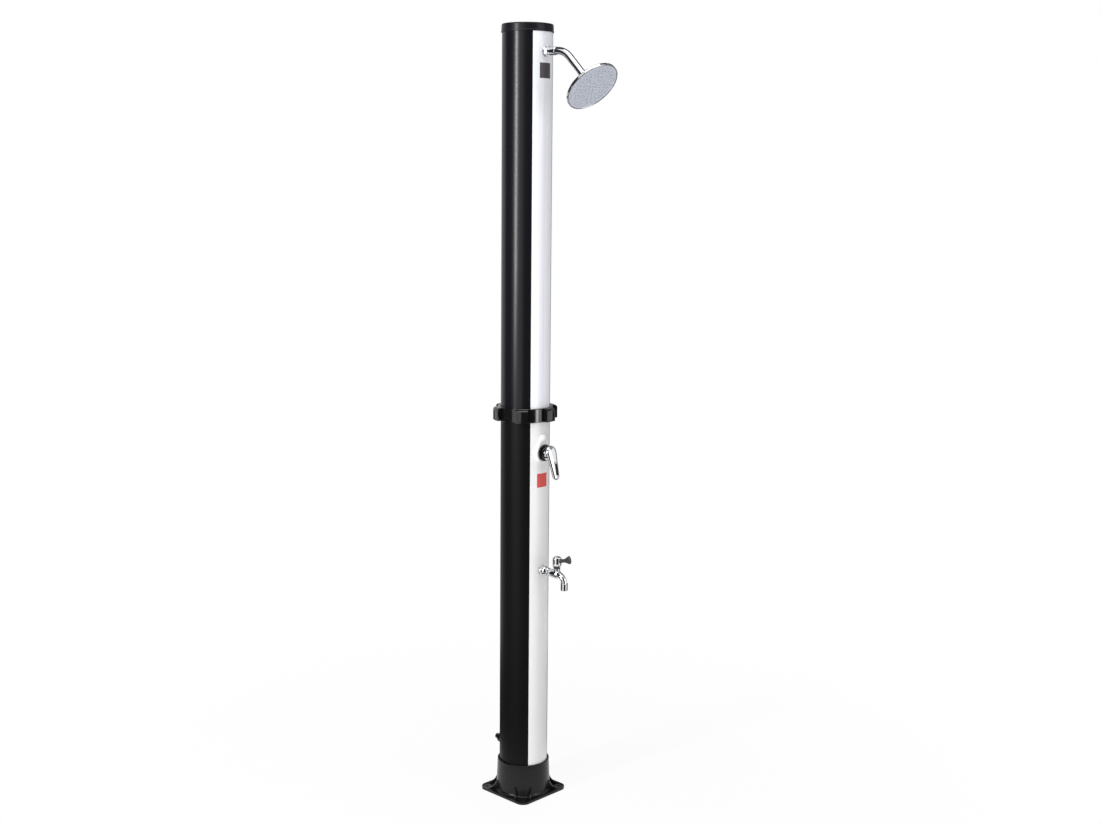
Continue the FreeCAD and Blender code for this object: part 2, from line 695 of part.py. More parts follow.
def make_arm():
    arm_end = D.head_distance - D.ball_depth - 16.2
    body = new_body("shower_arm")
    path = bent_path(50.0, D.arm_corner, arm_end, D.arm_bend, D.arm_drop)
    bent_tube(body, "arm_tube", path, D.arm_radius, D.arm_wall)
    node(place(body, z=D.arm_height, turn=FORWARD), "shower_arm")

    bore = D.arm_radius + 0.1
    rosette = turned("arm_rosette", [(bore, 60), (14.2, 60), (14.2, 70.6), (13.2, 71.6), (bore, 71.6)])
    seated("arm_rosette", place(rosette, z=D.arm_height, turn=FORWARD))
    nut_back, nut_length, sleeve_end = 71.7, 12.5, 109.5
    nut = make_hex_nut("arm_nut", 24.0, bore, nut_back, nut_length, D.arm_height)
    sleeve = D.arm_sleeve
    turn_profile(nut, "nut_sleeve", [
        (bore, nut_back + 2), (sleeve, nut_back + 2), (sleeve, sleeve_end - 1.5),
        (sleeve - 1, sleeve_end), (bore, sleeve_end)])
    make_hex_nut("arm_backnut", 25.0, bore, 56.0, 5.0, D.arm_height)

    tail = D.arm_radius - D.arm_wall - 0.1
    elbow = new_body("arm_elbow")
    turn_profile(elbow, "elbow_tail", [
        (0, 27), (12, 27), (12, 49.8), (tail, 49.8), (tail, 60), (3.5, 60), (3.5, 33), (0, 33)])
    pipe_socket(elbow, "elbow_socket", D.pipe_line, 22.0, down=True)
    node(place(elbow, z=D.arm_height, turn=FORWARD), "arm_elbow")


def make_ball_joint():
    ball, neck = D.ball_radius, 5.0
    neck_top = -root(ball * ball - neck * neck)
    body = turned("swivel_ball", [
        (3.2, -30), (D.arm_radius - D.arm_wall - 0.1, -30), (D.arm_radius - D.arm_wall - 0.1, -16.1),
        (D.arm_radius + 1.4, -16.1), (D.arm_radius + 1.4, -12.5), (neck, -11.5), (neck, neck_top),
        (ball, 0, ball, 1), (3.2, root(ball * ball - 3.2 * 3.2), ball, 1)])
    centre = D.head_distance - D.ball_depth
    node(head_place(body, centre), "swivel_ball")

    inner, outer, half = ball + 0.1, D.ball_seat, 5.8
    inner_edge, outer_edge = root(inner * inner - half * half), root(outer * outer - half * half)
    seat = turned("ball_seat", [
        (inner_edge, -half, inner, -1), (outer_edge, -half), (outer, 0, outer, 1),
        (outer_edge, half, outer, 1), (inner_edge, half), (inner, 0, inner, -1)])
    return node(head_place(seat, centre), "ball_seat")


def make_head():
    centre = D.head_distance - D.ball_depth
    cavity, opening, joint = D.ball_cavity, 7.6, 3.0
    mouth = root(cavity * cavity - opening * opening)
    waist = root(cavity * cavity - joint * joint)
    nut = turned("ball_nut", [
        (mouth, -opening), (cavity, 0, cavity, 1), (waist, joint, cavity, 1), (12.8, joint), (12.8, 12),
        (15.6, 12), (16.0, 11.4), (16.0, -2.5), (15.4, -3.5), (13.0, -opening)])
    node(head_place(nut, centre), "ball_nut")

    face = D.ball_depth
    rim = D.head_radius
    floor = 8.7
    throat = root(cavity * cavity - floor * floor)
    start = joint + 0.2
    entry = root(cavity * cavity - start * start)
    shell = turned("head_shell", [
        (entry, start, cavity, -1), (12.6, start), (12.6, 12.2), (16.5, 12.2), (17.0, 14.0),
        (47.0, 21.5, 90, 1),
        (rim - 3, 26.5, 190, -1), (rim, 29.5, 3.4, 1), (rim, face - 0.6), (rim - 0.6, face),
        (rim - 2.6, face), (rim - 3.2, face - 0.6), (rim - 3.2, face - 4), (rim - 5, face - 4),
        (rim - 5, 28.4), (47.0, 23.5), (16.0, 17.2), (5.0, 15.8), (5.0, floor), (throat, floor)])
    node(head_place(shell, centre), "head_shell")

    plate_back = face - 3.9
    groove = 0.6
    plate = turned("head_face", [
        (0, plate_back), (rim - 3.4, plate_back), (rim - 3.4, face - 0.5), (66.5, face - 0.5),
        (66.0, face - 0.5 - groove), (64.5, face - 0.5 - groove), (64.0, face - 0.5),
        (0, face - 0.5)])
    node(head_place(plate, centre), "head_face")

    tips = new_body("head_nozzles")
    tips.AllowCompound = True
    rings = ((0, 1), (12.0, 6), (23.0, 12), (34.0, 18), (45.0, 24), (56.0, 30))
    for index, (radius, count) in enumerate(rings):
        tip = pad(tips, f"nozzle_{index}", lambda s, r=radius: draw_circle(s, 1.7, r, 0), 1.7,
                  "XY_Plane", Placement(Vector(0, 0, number(face) - 0.45), Rotation()))
        if count > 1:
            doc.recompute()
            polar(tips, f"nozzle_ring_{index}", [tip], count)
    node(head_place(tips, centre), "head_nozzles")


# ---------------------------------------------------------------------------------------------
# Mixer
# ---------------------------------------------------------------------------------------------

def make_saddle():
    body = new_body("mixer_saddle")
    foot = 56.0
    boss = pad(body, "saddle_boss", lambda s: draw_egg(s, D.saddle_big, D.saddle_small, D.saddle_rise),
               D.saddle_face - foot, "XY_Plane", Placement(Vector(0, 0, foot), Rotation()))
    boss.TaperAngle = -10
    doc.recompute()
    front = number(D.saddle_face)
    dress(body, "Fillet", "saddle_edge", lambda e: min(v.Z for v in e.Vertexes) > front - 0.1, 2.6)
    swell, swell_rise = D.saddle_small - 2.6, 4.0
    ball = (swell * swell + swell_rise * swell_rise) / (2 * swell_rise)
    profile = new_sketch(body, "saddle_swell_profile", "XZ_Plane",
                         Placement(Vector(0, 0, -number(D.saddle_rise)), Rotation()))
    draw_chain(profile, [(0, foot), (swell, foot), (swell, D.saddle_face),
                         (0, D.saddle_face + swell_rise, ball, 1)])
    made = feature(body, "Revolution", "saddle_swell", profile, Angle=360.0)
    made.ReferenceAxis = (profile, ["V_Axis"])
    doc.recompute()
    pocket(body, "saddle_hole", lambda s: draw_circle(s, D.cover_radius + 0.4), 200, midplane=True)
    seated("mixer_saddle", place(body, z=D.mixer_height, turn=FORWARD))


def make_mixer_inside():
    body = new_body("mixer_body")
    turn_profile(body, "mixer_barrel", [
        (0, 24), (20, 24), (21, 25), (21, 50), (17.3, 50), (17.3, 44), (0, 44)])
    pad(body, "hot_branch", lambda s: draw_circle(s, 8.5, 0, D.pipe_line), -D.hot_offset, "YZ_Plane",
        reverse=True)
    pipe_socket(body, "cold_port", D.pipe_line, 32.0, down=True)
    pipe_socket(body, "outlet_port", D.pipe_line, 32.0, down=False)
    pipe_socket(body, "hot_port", D.pipe_line, 24.0, down=False, across=D.hot_offset)
    pocket(body, "cartridge_seat", lambda s: draw_circle(s, 17.3), 10, "XY_Plane",
           Placement(Vector(0, 0, 44), Rotation()), reverse=True)
    node(place(body, z=D.mixer_height, turn=FORWARD), "mixer_body")


def make_cartridge():
    axis = {"z": D.mixer_height, "turn": FORWARD}
    pivot = D.mixer_pivot
    housing = turned("mixer_cartridge", [
        (0, 44.1), (16.7, 44.1), (17.2, 44.6), (17.2, 73), (16.2, 74), (14.4, 74), (14.4, 67), (0, 67)])
    node(place(housing, **axis), "mixer_cartridge")

    cover, wall, mouth = D.cover_radius, 1.1, 11.3
    inner = cover - wall
    sleeve = turned("cartridge_cover", [
        (inner, 50.2), (cover, 50.2), (cover, pivot),
        (mouth, pivot + root(cover * cover - mouth * mouth), cover, 1),
        (mouth, pivot + root(inner * inner - mouth * mouth)), (inner, pivot, inner, -1)])
    node(place(sleeve, **axis), "cartridge_cover")

    ring = new_body("mixer_ring_nut")
    back, front = D.saddle_face + 0.1, D.saddle_face + 5.4
    turn_profile(ring, "mixer_ring_band", [
        (cover + 0.3, back), (D.mixer_ring, back), (D.mixer_ring, front - 1.5),
        (D.mixer_ring - 1.5, front), (cover + 1, front), (cover + 0.3, front - 0.7)])
    scallop = new_sketch(ring, "mixer_ring_scallop", "XY_Plane",
                         Placement(Vector(0, 0, number(back) - 1), Rotation()))
    draw_circle(scallop, 3.0, D.mixer_ring + 2.2, 0)
    notch = feature(ring, "Pocket", "mixer_ring_notch", scallop, Length=12.0)
    notch.Reversed = True
    doc.recompute()
    polar(ring, "mixer_ring_notches", [notch], 12)
    node(place(ring, **axis), "mixer_ring_nut")

    rotor = new_body("cartridge_rotor")
    turn_profile(rotor, "rotor_disc", [
        (0, 67.2), (14.0, 67.2), (14.0, pivot - 7.0), (0, pivot - 7.0)])
    for side in (-1, 1):
        left, right = sorted((side * 4.6, side * 8.6))
        ear = [(left, -5), (right, -5), (right, 5), (left, 5)]
        pad(rotor, f"rotor_ear_{side + 2}", lambda s, e=ear: draw_chain(s, e), 11.5, "XY_Plane",
            Placement(Vector(0, 0, number(pivot) - 7.5), Rotation()))
    pocket(rotor, "rotor_pin_hole", lambda s: draw_circle(s, 1.55, 0, pivot), 40, "YZ_Plane",
           midplane=True)
    node(place(rotor, **axis), "cartridge_rotor")


def draw_square(sketch, half):
    draw_chain(sketch, [(-half, -half), (half, -half), (half, half), (-half, half)])


def make_lever():
    """Own Z points out of the lever's face and own -Y down its length; the stem is set lower."""
    lean = Rotation(Vector(1, 0, 0), 90 - number(D.lever_lean))
    drop = Rotation(Vector(1, 0, 0), number(D.lever_set))
    seat = {"y": -D.mixer_pivot, "z": D.mixer_height}

    stem = new_body("lever_stem")
    pad(stem, "stem_bar", lambda s: draw_square(s, 4.0), 24.5, "XY_Plane",
        Placement(Vector(0, 0, -4.5), Rotation()))
    pad(stem, "stem_pin", lambda s: draw_circle(s, 1.5), 17.0, "YZ_Plane", midplane=True)
    node(place(stem, turn=lean * drop, **seat), "lever_stem")

    body = new_body("mixer_lever")
    inner = D.cover_radius + 0.6
    outer = inner + 2.6
    down = Rotation(Vector(0, 0, 1), 180)
    sections = []
    for height, inset in ((13.0, 3.4), (14.4, 1.0), (16.4, 0.0), (18.6, 0.3), (20.6, 1.7),
                          (22.0, 4.0), (22.9, 6.8), (23.5, 9.6), (23.8, 11.4)):
        section = new_sketch(body, f"blade_section_{len(sections)}", "XY_Plane",
                             Placement(Vector(0, 0, height), down))
        draw_egg(section, D.lever_top - inset, D.lever_tip - inset, D.lever_length)
        sections.append(section)
    blade = body.newObject("PartDesign::AdditiveLoft", "lever_blade")
    blade.Profile = sections[0]
    blade.Sections = sections[1:]
    doc.recompute()

    def hub(name, corners, kind="Revolution"):
        profile = new_sketch(body, f"{name}_profile", "YZ_Plane",
                             Placement(Vector(), Rotation(Vector(0, 0, 1), number(D.lever_set))))
        draw_chain(profile, corners)
        made = feature(body, kind, name, profile, Angle=360.0)
        made.ReferenceAxis = (profile, ["V_Axis"])
        doc.recompute()

    hub("lever_hollow", [(0, -inner), (inner, 0, inner, 1), (0, inner, inner, 1)], "Groove")
    rim = D.lever_rim
    hub("lever_hub", [
        (0, inner), (inner * sine(rim), inner * cosine(rim), inner, -1),
        (outer * sine(rim), outer * cosine(rim)), (0, outer, outer, 1)])
    hub("lever_boss", [(0, 12), (6.8, 12), (6.8, inner + 0.8), (0, inner + 0.8)])
    middle = drop.multVec(Vector(0, 0, 16.0))
    pocket(body, "lever_socket", lambda s: draw_square(s, 4.05), 9.0, "XY_Plane",
           Placement(middle, drop), midplane=True)
    window = Placement(Vector(0, -36, 0), down)
    pocket(body, "lever_window", lambda s: draw_egg(s, 8.5, 6.5, 28.0), 80, "XY_Plane", window,
           midplane=True)
    pocket(body, "lever_screw_hole", lambda s: draw_circle(s, 2.05, 0, 16.5), 16.0, "XZ_Plane",
           Placement(Vector(0, 0, 28.5), Rotation()))
    node(place(body, turn=lean, **seat), "mixer_lever")

    screw = turned("lever_screw", [(0, 0), (2.0, 0), (2.0, 6.0), (1.2, 6.0), (1.2, 4.0), (0, 4.0)])
    tip = lean.multVec(Vector(0, -13.4, 16.5))
    node(place(screw, y=-D.mixer_pivot + tip.y, z=D.mixer_height + tip.z,
               turn=lean * FORWARD), "lever_screw")


# ---------------------------------------------------------------------------------------------
# Foot tap
# ---------------------------------------------------------------------------------------------

def make_tap():
    axis = dict(z=D.tap_height, turn=FORWARD)
    rosette = turned("tap_rosette", [
        (8.2, 60), (15.2, 60), (15.2, 72.0), (14.4, 72.8), (14.2, 80.0), (10.2, 90.0, 11, 1), (8.2, 90.0)])
    seated("tap_rosette", place(rosette, **axis))

    body = new_body("tap_body")
    post_radius, spout_radius = 9.0, 8.6
    spindle_hole, mouth_hole = 4.3, 6.4
    turn_profile(body, "tap_shank", [
        (4.5, 46.1), (8.0, 46.1), (8.0, 90.2), (10.4, 90.2), (11.6, 92.0), (11.6, 96.5), (10.4, 98.5),
        (9.6, 101.5), (12.3, 121.0, 60, 1), (12.3, 130.0, 60, 1), (0, 142.3, 12.3, 1), (0, 110),
        (4.5, 110)])
    pad(body, "tap_upright", lambda s: draw_circle(s, post_radius, 0, D.tap_post),
        D.tap_cap_bottom - 0.3, "XZ_Plane", reverse=True)
    doc.recompute()
    bent_tube(body, "tap_spout", bent_path(112.0, D.nozzle_reach, 34.0, D.spout_bend, 90), spout_radius)
    pocket(body, "spindle_bore", lambda s: draw_circle(s, spindle_hole, 0, D.tap_post), 40,
           "XZ_Plane", Placement(Vector(0, 0, -18), Rotation()), midplane=True)
    pocket(body, "spout_mouth", lambda s: draw_circle(s, mouth_hole, 0, D.nozzle_reach), 12,
           "XZ_Plane", Placement(Vector(0, 0, 34.4), Rotation()))
    node(place(body, **axis), "tap_body")

    wide, length = D.nozzle_radius, D.nozzle_top - D.nozzle_bottom
    nozzle = turned("tap_nozzle", [
        (7.6, 0), (wide - 0.8, 0), (wide, 0.8), (wide, length - 0.5), (wide - 0.5, length),
        (9.4, length), (9.4, 6), (7.6, 6)])
    node(place(nozzle, y=-D.nozzle_reach, z=D.tap_height + D.nozzle_bottom), "tap_nozzle")

    make_hex_nut("tap_backnut", 22.0, 8.1, 58.0, 5.0, D.tap_height)

    tee = new_body("tap_tee")
    turn_profile(tee, "tee_socket", [
        (0, 27), (11, 27), (11, 57), (8.1, 57), (8.1, 46), (4.5, 46), (4.5, 33), (0, 33)])
    pipe_socket(tee, "tee_up", D.pipe_line, 20.0, down=False)
    pipe_socket(tee, "tee_down", D.pipe_line, 20.0, down=True)
    pocket(tee, "shank_seat", lambda s: draw_circle(s, 8.1), 12, "XY_Plane",
           Placement(Vector(0, 0, 46), Rotation()), reverse=True)
    node(place(tee, **axis), "tap_tee")


def make_tap_handle():
    low, high, wide = D.tap_cap_bottom, D.tap_cap_top, D.tap_cap_radius
    height = high - low
    turn = TO_FRONT * Rotation(Vector(0, 1, 0), -number(D.handle_rise))
    seat = {"y": -D.tap_post, "z": D.tap_height + D.handle_height}

    handle = new_body("tap_handle")
    sections = []
    for reach, tall, thick in (
            (9.0, 12.0, 9.0), (18.0, 11.2, 9.0), (28.0, 9.8, 9.0), (37.0, 12.6, 8.6),
            (45.0, 19.6, 8.0), (50.5, 23.0, 7.2), (53.5, 21.8, 5.6)):
        section = new_sketch(handle, f"handle_section_{len(sections)}", "YZ_Plane",
                             Placement(Vector(0, 0, reach), Rotation()))
        draw_rounded_oblong(section, thick / 2, tall / 2, 2.4)
        sections.append(section)
    blade = handle.newObject("PartDesign::AdditiveLoft", "handle_blade")
    blade.Profile = sections[0]
    blade.Sections = sections[1:]
    doc.recompute()

    pocket(handle, "handle_screw_hole", lambda s: draw_circle(s, 1.95), 32, "YZ_Plane", midplane=True)
    node(place(handle, turn=turn, **seat), "tap_handle")

    crown, crown_drop = wide - 4.6, 1.2
    dome = (crown * crown + crown_drop * crown_drop) / (2 * crown_drop)
    cap = turned("tap_cap_blank", [
        (4.1, 0), (wide - 3.6, 0), (wide - 2.8, 0.8), (wide - 1.5, 5), (wide - 0.5, 10), (wide, 15),
        (wide, height - 9.0), (wide - 0.5, height - 6.0), (crown, height - crown_drop, 6, 1),
        (0, height, dome, 1), (0, 13.0), (4.1, 13.0)])
    place(cap, y=-D.tap_post, z=D.tap_height + low)
    slot = turned_box("tap_cap_slot", (8.95, -4.6, -6.2), (20, 9.2, 12.4), turn, seat)
    bore = turned("tap_cap_bore", [(0, -20), (1.95, -20), (1.95, 20), (0, 20)])
    place(bore, turn=turn * Rotation(Vector(0, 1, 0), 90), **seat)
    node(cut("tap_cap_cut", cap, slot, bore), "tap_cap")

    screw = turned("tap_handle_screw", [(0, -10.8), (1.1, -10.8), (1.1, -12.0), (1.9, -12.0), (1.9, 15.5),
                                        (0, 15.5)])
    node(place(screw, turn=turn * Rotation(Vector(0, 1, 0), 90), **seat), "tap_handle_screw")

    spindle = turned("tap_spindle", [(0, -13.0), (4.0, -13.0), (4.0, 12.9), (0, 12.9)])
    node(place(spindle, y=-D.tap_post, z=D.tap_height + low), "tap_spindle")


def turned_box(name, corner, sizes, turn, seat):
    """A block given in a piece's own axes, placed with that piece."""
    body = new_body(name)
    x, y, z = corner
    width, depth, height = sizes
    pad(body, f"{name}_block", lambda s: draw_chain(s, [
        (x, y), (x + width, y), (x + width, y + depth), (x, y + depth)]), height, "XY_Plane",
        Placement(Vector(0, 0, z), Rotation()))
    return place(body, turn=turn, **seat)


# ---------------------------------------------------------------------------------------------
# Inlet and drain on the back, and the pipes inside
# ---------------------------------------------------------------------------------------------

def make_inlet():
    axis = dict(z=D.inlet_height, turn=BACKWARD)
    gasket = turned("inlet_gasket", [(10.2, 60), (15.0, 60), (15.0, 70.8), (10.2, 70.8)])
    seated("inlet_gasket", place(gasket, **axis), clearance=D.seat_gap)
    fitting = turned("inlet_fitting", [
        (D.pipe_radius + 0.1, 46), (9.9, 46), (9.9, 71.0), (15.5, 71.0), (15.5, 75.5), (14.5, 76.5),
        (13.0, 76.5), (13.0, 90.0), (12.2, 91.0), (5.0, 91.0), (5.0, 56), (D.pipe_radius + 0.1, 56)])
    node(place(fitting, **axis), "inlet_fitting")
    nipple = D.nipple_radius
    tip = D.inlet_tip
    connector = turned("hose_nipple", [
        (5.0, 91.1), (14.2, 91.1), (14.2, 96.0), (13.4, 96.8), (nipple - 1.4, 96.8),
        (nipple - 1.4, 100.6), (nipple, 101.6), (nipple, tip - 2.5), (nipple - 1.8, tip, 3.0, 1),
        (5.0, tip)])
    node(place(connector, **axis), "hose_nipple")
    make_hex_nut("inlet_backnut", 26.0, 10.0, 56.0, 6.0, D.inlet_height, BACKWARD)

    drain_axis = dict(z=D.drain_height, turn=bearing(D.drain_turn))
    seal = turned("drain_seal", [(7.2, 60), (10.4, 60), (10.4, 70.6), (7.2, 70.6)])
    seated("drain_seal", place(seal, **drain_axis), clearance=D.seat_gap)
    plug = turned("drain_plug", [
        (0, 58), (7.0, 58), (7.0, 70.8), (11.2, 70.8), (11.2, 73.4), (10.4, 74.4), (8.2, 74.4), (8.2, 79.4),
        (7.2, 80.4), (0, 80.4)])
    node(place(plug, **drain_axis), "drain_plug")


def make_straight_pipe(name, x, bottom, top):
    outer = cylinder(f"{name}_outer", D.pipe_radius, top - bottom)
    bore = cylinder(f"{name}_bore", D.pipe_radius - D.pipe_wall, top - bottom + 2)
    place(outer, x=x, y=-D.pipe_line, z=bottom)
    place(bore, x=x, y=-D.pipe_line, z=bottom - 1)
    return node(cut(name, outer, bore), name)


def make_pipes():
    make_straight_pipe("cold_upper_pipe", 0, D.tap_height + 10.2, D.mixer_height - 22.2)
    make_straight_pipe("riser_pipe", 0, D.mixer_height + 22.2, D.arm_height - 12.2)
    make_straight_pipe("hot_pipe", D.hot_offset, D.mixer_height + 14.2, D.cap_bottom - 30)

    body = new_body("cold_lower_pipe")
    start, bend = 55.8, 22.0
    top = D.tap_height - D.inlet_height - 10.2
    path = new_sketch(body, "cold_path", "YZ_Plane")
    draw_chain(path, [(start, 0), (bend - D.pipe_line, 0), (-D.pipe_line, bend, bend, -1),
                      (-D.pipe_line, top)], closed=False)
    section = new_sketch(body, "cold_section", "XZ_Plane",
                         Placement(Vector(0, 0, -start), Rotation()))
    draw_circle(section, D.pipe_radius)
    draw_circle(section, D.pipe_radius - D.pipe_wall)
    run = feature(body, "AdditivePipe", "cold_run", section)
    run.Spine = path
    node(place(body, z=D.inlet_height), "cold_lower_pipe")


make_foot()
make_tubes()
make_bottom_plug()
make_coupling()
make_ring_nut()
make_cap()
make_arm()
make_ball_joint()
make_head()
make_saddle()
make_mixer_inside()
make_cartridge()
make_lever()
make_tap()
make_tap_handle()
make_inlet()
make_pipes()


# ---------------------------------------------------------------------------------------------
# Check and write
# ---------------------------------------------------------------------------------------------

def check():
    doc.recompute()
    for obj in doc.Objects:
        if {"Invalid", "Error"} & set(obj.State):
            raise RuntimeError(f"{obj.Name} failed: {obj.State}")
    for piece in NODES:
        shape = piece.Shape
        if shape.isNull() or not shape.isValid() or shape.Volume <= 0:
            raise RuntimeError(f"{piece.Label} is not a valid solid")


def write():
    os.makedirs("parts", exist_ok=True)
    for piece in NODES:
        piece.Shape.exportStep(f"parts/{piece.Label}.step")
        print(f"{piece.Label:22s} {len(piece.Shape.Solids)} solid(s) {piece.Shape.Volume / 1000:9.1f} cm3")


check()
write()
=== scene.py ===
import math

import bpy
from mathutils import Matrix, Vector


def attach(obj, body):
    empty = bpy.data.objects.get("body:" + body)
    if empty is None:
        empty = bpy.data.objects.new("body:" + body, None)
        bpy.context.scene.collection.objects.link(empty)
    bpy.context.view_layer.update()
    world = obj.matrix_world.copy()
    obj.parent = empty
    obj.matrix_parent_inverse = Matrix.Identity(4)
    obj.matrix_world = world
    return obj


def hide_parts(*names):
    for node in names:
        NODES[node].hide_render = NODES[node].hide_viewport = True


# The outdoor shower post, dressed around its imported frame. Metres; +Z is up and the front faces -Y.

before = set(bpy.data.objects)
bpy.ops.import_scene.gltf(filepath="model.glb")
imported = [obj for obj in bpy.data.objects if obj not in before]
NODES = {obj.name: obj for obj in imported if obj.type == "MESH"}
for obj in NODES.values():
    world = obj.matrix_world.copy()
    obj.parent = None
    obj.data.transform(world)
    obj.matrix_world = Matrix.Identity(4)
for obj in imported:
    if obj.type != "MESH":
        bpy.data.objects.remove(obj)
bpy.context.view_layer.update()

MM = 0.001
STRIP_RADIUS = 69.15 * MM      # outside of the white strip, measured from the post's axis


def new_node(nodes, kind, **inputs):
    """A shader node with its sockets set; a socket's spaces are written as underscores."""
    node = nodes.new(kind)
    set_inputs(node, **inputs)
    return node


def set_inputs(node, **inputs):
    for socket, value in inputs.items():
        node.inputs[socket.replace("_", " ")].default_value = value


def grey(level):
    return (level, level, level, 1)


def new_object(name, verts, faces, material):
    mesh = bpy.data.meshes.new(name)
    mesh.from_pydata(verts, [], faces)
    mesh.update()
    piece = bpy.data.objects.new(name, mesh)
    bpy.context.scene.collection.objects.link(piece)
    mesh.materials.append(material)
    return piece


def smooth(piece, angle=35):
    with bpy.context.temp_override(object=piece, selected_objects=[piece],
                                   selected_editable_objects=[piece]):
        bpy.ops.object.shade_smooth_by_angle(angle=math.radians(angle))
    return piece


# ---------------------------------------------------------------------------------------------
# Materials
# ---------------------------------------------------------------------------------------------

NOISE_RANGE = (0.3, 0.7)       # nearly all of a noise texture's values lie between these
EVEN = (1, 1, 1)
ALONG = (1, 1, 0.01)           # draws noise out into streaks along the post
DRAWN = (1, 1, 0.3)            # draws noise out a little along the post


class Surface:
    """A Principled material whose finer detail comes from noise in the object's own coordinates."""

    def __init__(self, name, colour, roughness, metallic=0.0, **sockets):
        self.material = bpy.data.materials.new(name)
        self.material.use_nodes = True
        self.nodes = self.material.node_tree.nodes
        self.links = self.material.node_tree.links
        self.shader = self.nodes["Principled BSDF"]
        self.colour = colour
        self.roughness = roughness
        set_inputs(self.shader, Base_Color=(*colour, 1.0), Roughness=roughness,
                   Metallic=metallic, **sockets)
        self.place = self.nodes.new("ShaderNodeTexCoord").outputs["Object"]
        self.normal = None

    def noise(self, scale, detail, stretch):
        """Noise with features about 1 / scale metres across, stretched along the axes."""
        mapping = new_node(self.nodes, "ShaderNodeMapping", Scale=stretch)
        noise = new_node(self.nodes, "ShaderNodeTexNoise", Scale=scale, Detail=detail)
        self.links.new(self.place, mapping.inputs["Vector"])
        self.links.new(mapping.outputs["Vector"], noise.inputs["Vector"])
        return noise.outputs["Fac"]

    def spread(self, value, low, high):
        """The noise's values mapped to the range from low to high."""
        spread = new_node(self.nodes, "ShaderNodeMapRange",
                          From_Min=NOISE_RANGE[0], From_Max=NOISE_RANGE[1],
                          To_Min=low, To_Max=high)
        self.links.new(value, spread.inputs["Value"])
        return spread.outputs["Result"]

    def vary_roughness(self, amount, scale, stretch=EVEN):
        value = self.spread(self.noise(scale, 4.0, stretch), self.roughness - amount,
                            self.roughness + amount)
        self.links.new(value, self.shader.inputs["Roughness"])
        return self

    def vary_colour(self, amount, scale, stretch=EVEN):
        lighter = [channel * (1 + amount) for channel in self.colour]
        darker = [channel * (1 - amount) for channel in self.colour]
        mix = self.nodes.new("ShaderNodeMix")
        mix.data_type = "RGBA"
        set_inputs(mix, A=(*darker, 1.0), B=(*lighter, 1.0))
        self.links.new(self.spread(self.noise(scale, 3.0, stretch), 0, 1), mix.inputs["Factor"])
        self.links.new(mix.outputs["Result"], self.shader.inputs["Base Color"])
        return self

    def bump(self, depth, scale, stretch=EVEN, detail=3.0):
        """Relief of a given depth in metres, laid over any relief added before."""
        bump = new_node(self.nodes, "ShaderNodeBump", Distance=depth, Strength=1.0)
        self.links.new(self.noise(scale, detail, stretch), bump.inputs["Height"])
        if self.normal is not None:
            self.links.new(self.normal, bump.inputs["Normal"])
        self.normal = bump.outputs["Normal"]
        self.links.new(self.normal, self.shader.inputs["Normal"])
        return self


